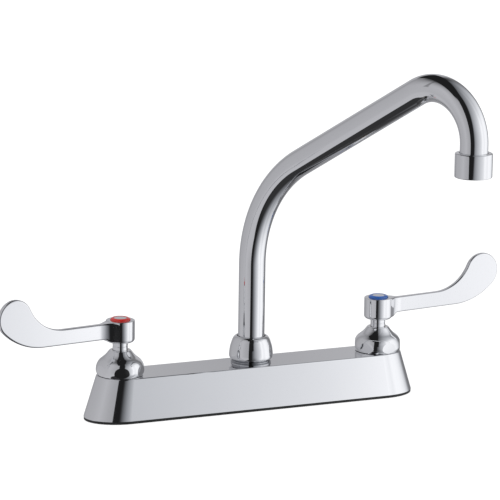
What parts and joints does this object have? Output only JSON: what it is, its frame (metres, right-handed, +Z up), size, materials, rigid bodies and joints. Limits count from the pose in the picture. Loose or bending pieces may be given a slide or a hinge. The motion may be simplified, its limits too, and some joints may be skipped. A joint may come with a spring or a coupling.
{
  "type": "commercial faucet",
  "caption": "Deck-mounted commercial faucet: tapered chrome base, bent swivel spout with outlet fitting, wrist blade handles with red and blue index rings.",
  "frame": {"origin": "on the deck plane, at the underside of the gasket, on the spout's swivel axis", "axes": "+Z up out of the deck, +X along the base from the hot valve to the cold valve, -Y towards the user"},
  "size_m": [0.4043, 0.223, 0.3105],
  "materials": {
    "chrome_casting": "polished chrome plate on cast brass",
    "chrome_turned": "polished chrome plate on turned brass",
    "chrome_handle": "polished chrome plate on forged metal",
    "chrome_tube": "polished chrome plate on brass tube",
    "bare_brass": "machined",
    "steel": "plain",
    "black_rubber": "moulded",
    "white_ceramic": "lapped",
    "white_plastic": "moulded",
    "hot_plastic": "gloss red",
    "cold_plastic": "gloss blue"
  },
  "bodies": {
    "base": {"deck_body": "chrome_casting", "deck_gasket": "black_rubber", "spout_nut": "chrome_turned", "spout_washer": "white_plastic", "hot_inlet_shank": "bare_brass", "hot_mount_washer": "steel", "hot_lock_nut": "bare_brass", "hot_cartridge_body": "bare_brass", "hot_cartridge_oring": "black_rubber", "hot_seat_seal": "black_rubber", "hot_fixed_disc": "white_ceramic", "hot_bonnet": "chrome_turned", "cold_inlet_shank": "bare_brass", "cold_mount_washer": "steel", "cold_lock_nut": "bare_brass", "cold_cartridge_body": "bare_brass", "cold_cartridge_oring": "black_rubber", "cold_seat_seal": "black_rubber", "cold_fixed_disc": "white_ceramic", "cold_bonnet": "chrome_turned"},
    "hot_valve": {"hot_moving_disc": "white_ceramic", "hot_stem": "chrome_turned", "hot_stem_oring": "black_rubber", "hot_handle": "chrome_handle", "hot_handle_screw": "steel", "hot_index_button": "hot_plastic", "hot_index_disc": "chrome_turned"},
    "cold_valve": {"cold_moving_disc": "white_ceramic", "cold_stem": "chrome_turned", "cold_stem_oring": "black_rubber", "cold_handle": "chrome_handle", "cold_handle_screw": "steel", "cold_index_button": "cold_plastic", "cold_index_disc": "chrome_turned"},
    "spout": {"spout_sleeve": "bare_brass", "spout_orings": "black_rubber", "spout_tube": "chrome_tube", "outlet_collar": "bare_brass", "aerator_housing": "chrome_turned", "aerator_screen": "steel", "aerator_insert": "white_plastic", "aerator_washer": "black_rubber"}
  },
  "joints": [
    {"name": "hot_turn", "type": "hinge", "parent": "base", "child": "hot_valve", "pos_m": [-0.1016, 0, 0.06], "axis": [0, 0, 1], "range_deg": [0, 90]},
    {"name": "cold_turn", "type": "hinge", "parent": "base", "child": "cold_valve", "pos_m": [0.1016, 0, 0.06], "axis": [0, 0, 1], "range_deg": [-90, 0]},
    {"name": "spout_swivel", "type": "hinge", "parent": "base", "child": "spout", "pos_m": [0, 0, 0.04], "axis": [0, 0, 1], "continuous": true}
  ]
}
